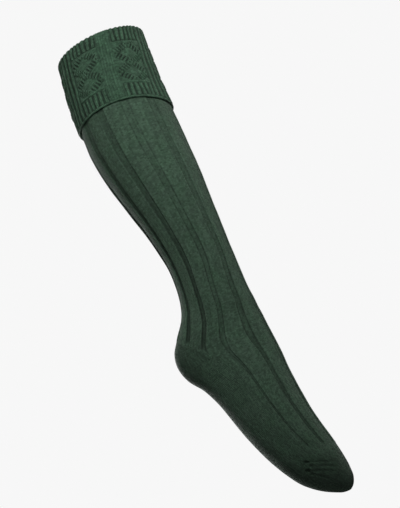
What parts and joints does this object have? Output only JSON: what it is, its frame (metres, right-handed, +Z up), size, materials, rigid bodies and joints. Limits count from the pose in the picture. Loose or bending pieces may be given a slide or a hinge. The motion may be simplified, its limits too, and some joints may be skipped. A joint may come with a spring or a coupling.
{
  "type": "kilt hose sock",
  "caption": "Knee-high ribbed wool stocking with a deep patterned turned-down cuff, a plain heel and toe, and a ribbed instep.",
  "frame": {"origin": "middle of the leg opening, level with the fold at the top of the cuff", "axes": "+Z up along the leg, out of the opening; +X towards the shin and the toe; Y from side to side"},
  "size_m": [0.1349, 0.118, 0.6276],
  "materials": {
    "cuff_knit": "bottle green wool, textured cuff knit",
    "leg_knit": "bottle green wool, broad rib",
    "heel_knit": "bottle green wool, plain stocking stitch",
    "foot_knit": "bottle green wool, ribbed instep and plain sole",
    "toe_knit": "bottle green wool, plain stocking stitch"
  },
  "bodies": {
    "root": {"turnover_cuff": "cuff_knit", "leg": "leg_knit", "heel": "heel_knit", "foot": "foot_knit", "toe": "toe_knit"}
  },
  "joints": []
}
